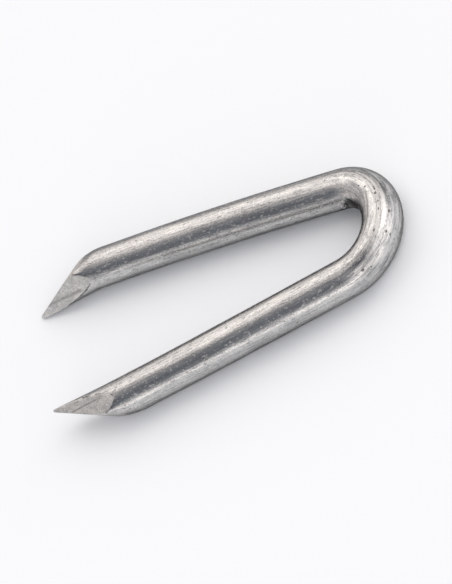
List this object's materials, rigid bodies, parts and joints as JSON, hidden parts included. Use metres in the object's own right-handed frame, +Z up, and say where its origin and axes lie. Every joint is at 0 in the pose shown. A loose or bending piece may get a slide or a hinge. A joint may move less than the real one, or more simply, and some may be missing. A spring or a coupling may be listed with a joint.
{
  "type": "fence staple",
  "caption": "Round galvanised steel wire bent to a U, with slightly spread legs of unlike length and a slash-cut point on each end.",
  "frame": {"origin": "middle of the staple's bounding box, on the plane it lies on", "axes": "+X from the points to the crown, +Y to the longer leg, +Z up from the plane the staple lies on"},
  "size_m": [0.0444, 0.02, 0.004],
  "materials": {
    "galvanised_wire": "hot-dip galvanised steel wire, dull silver with lengthwise draw lines, small pits and bare sheared facets"
  },
  "bodies": {
    "root": {"staple": "galvanised_wire"}
  },
  "joints": []
}
